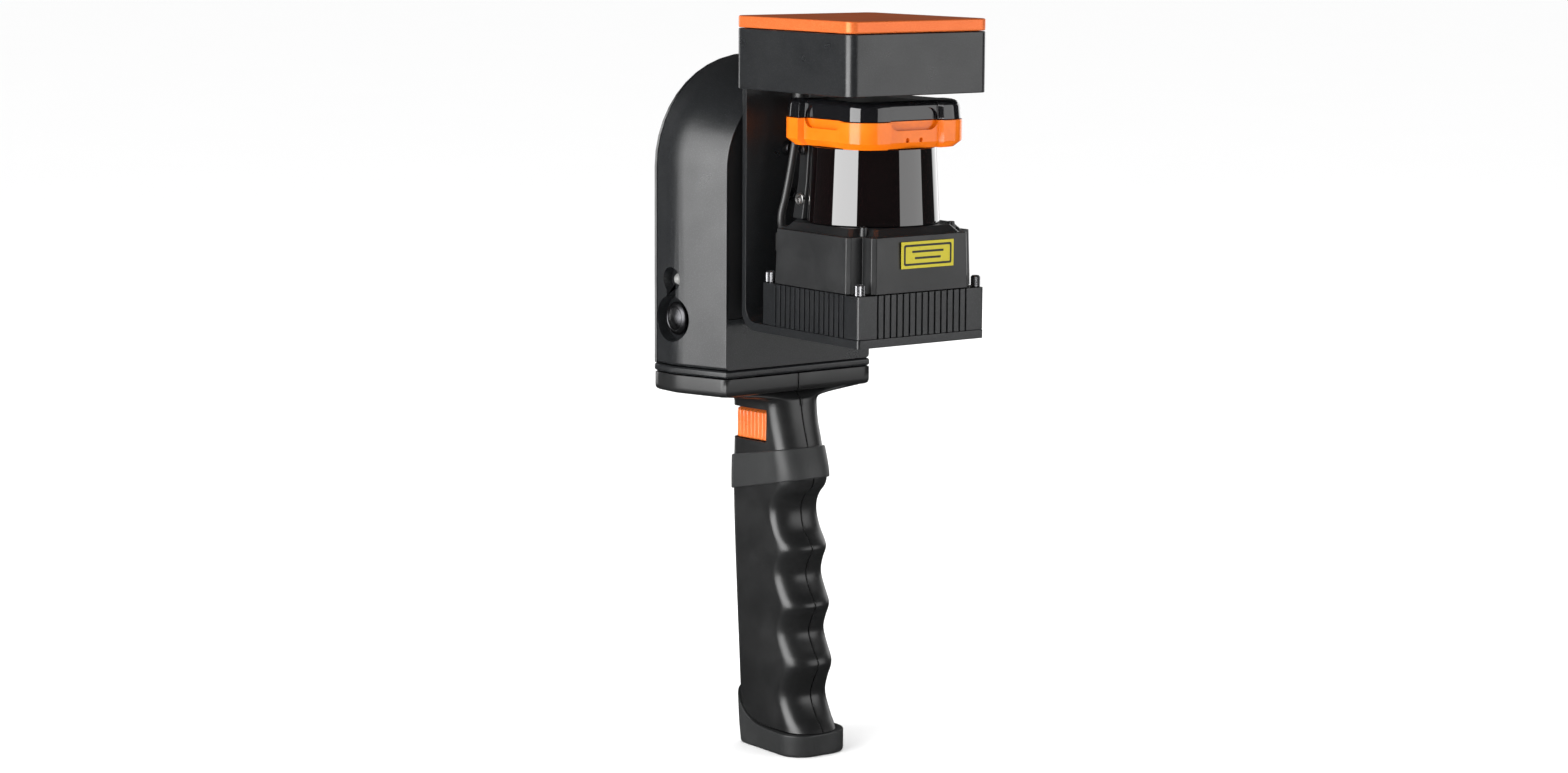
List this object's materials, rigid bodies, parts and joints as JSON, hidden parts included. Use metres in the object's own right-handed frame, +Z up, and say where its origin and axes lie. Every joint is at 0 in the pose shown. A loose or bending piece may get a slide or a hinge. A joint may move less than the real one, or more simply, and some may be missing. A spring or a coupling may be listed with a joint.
{
  "type": "handheld laser scanner",
  "caption": "Hand-held mobile laser scanner: lidar and orange-lidded sensor box on a bracket that turns on an arched drive housing, over a pistol grip with a thumb button.",
  "frame": {"origin": "centre of the flat base of the grip's end cap", "axes": "+Z up along the grip to the head, -Y forwards towards the lidar, +X to the operator's right"},
  "size_m": [0.0879, 0.1149, 0.2896],
  "materials": {
    "black_metal": "fine-textured satin black anodised",
    "orange_metal": "bead-blasted orange anodised",
    "grip_black": "smooth satin black",
    "grey_plastic": "matt dark grey",
    "black_plastic": "satin black",
    "cable_black": "semi-gloss black sheath",
    "orange_button": "satin orange, ribbed",
    "orange_band": "satin orange",
    "gloss_black": "gloss black",
    "window_black": "smoked gloss",
    "label_yellow": "printed film, black border",
    "steel": "zinc plated",
    "port_metal": "dark plated",
    "module_metal": "plain",
    "circuit_board": "green solder mask",
    "battery_wrap": "blue heat-shrink wrap",
    "mirror": "polished",
    "led_lens": "clear dome"
  },
  "bodies": {
    "scanner": {"adapter_plate": "black_metal", "back_cover": "black_metal", "battery_cell": "battery_wrap", "battery_contact_spring": "steel", "cap_screw_1": "steel", "cap_screw_2": "steel", "cover_screw_1": "steel", "cover_screw_2": "steel", "cover_screw_3": "steel", "cover_screw_4": "steel", "data_port": "port_metal", "drive_motor": "module_metal", "end_cap": "grey_plastic", "front_bearing": "module_metal", "front_panel": "black_metal", "grip_collar": "grey_plastic", "grip_half_left": "grip_black", "grip_half_right": "grip_black", "grip_screw_1": "steel", "grip_screw_2": "steel", "housing_shell": "black_metal", "main_board": "circuit_board", "power_switch": "grey_plastic", "slip_ring": "black_plastic", "status_led": "led_lens", "thumb_switch": "black_plastic"},
    "head": {"bracket": "black_metal", "bracket_screw_1": "steel", "bracket_screw_2": "steel", "bracket_screw_3": "steel", "bracket_screw_4": "steel", "cable_boot": "black_plastic", "cable_gland": "black_plastic", "head_box": "black_metal", "head_lid": "orange_metal", "inertial_sensor": "module_metal", "label_plate": "label_yellow", "lidar_base": "black_metal", "lidar_board": "circuit_board", "lidar_body": "black_plastic", "lidar_cable": "cable_black", "lidar_cap_band": "orange_band", "lidar_cap_top": "gloss_black", "lidar_motor": "module_metal", "lidar_screw_1": "steel", "lidar_screw_2": "steel", "lidar_screw_3": "steel", "lidar_screw_4": "steel", "lidar_spine": "black_plastic", "lidar_window": "window_black", "sensor_board": "circuit_board", "shelf_screw_1": "steel", "shelf_screw_2": "steel", "shelf_screw_3": "steel", "shelf_screw_4": "steel", "turntable": "grey_plastic"},
    "thumb_button": {"thumb_button": "orange_button", "thumb_switch_plunger": "grey_plastic"},
    "power_button": {"power_button": "black_plastic"},
    "lidar_rotor": {"lidar_rotor": "mirror"}
  },
  "joints": [
    {"name": "thumb_button_press", "type": "slide", "parent": "scanner", "child": "thumb_button", "axis": [1, 0, 0], "range_m": [0, 0.0015], "stiffness_N_per_m": 800, "springref_m": -0.0006},
    {"name": "power_button_press", "type": "slide", "parent": "scanner", "child": "power_button", "axis": [1, 0, 0], "range_m": [0, 0.0012], "stiffness_N_per_m": 800, "springref_m": -0.0006},
    {"name": "head_turn", "type": "hinge", "parent": "scanner", "child": "head", "pos_m": [0, -0.0037, 0.23], "axis": [0, -1, 0], "continuous": true},
    {"name": "lidar_rotor_spin", "type": "hinge", "parent": "head", "child": "lidar_rotor", "pos_m": [0, -0.0472, 0.2], "axis": [0, 0, 1], "continuous": true}
  ]
}
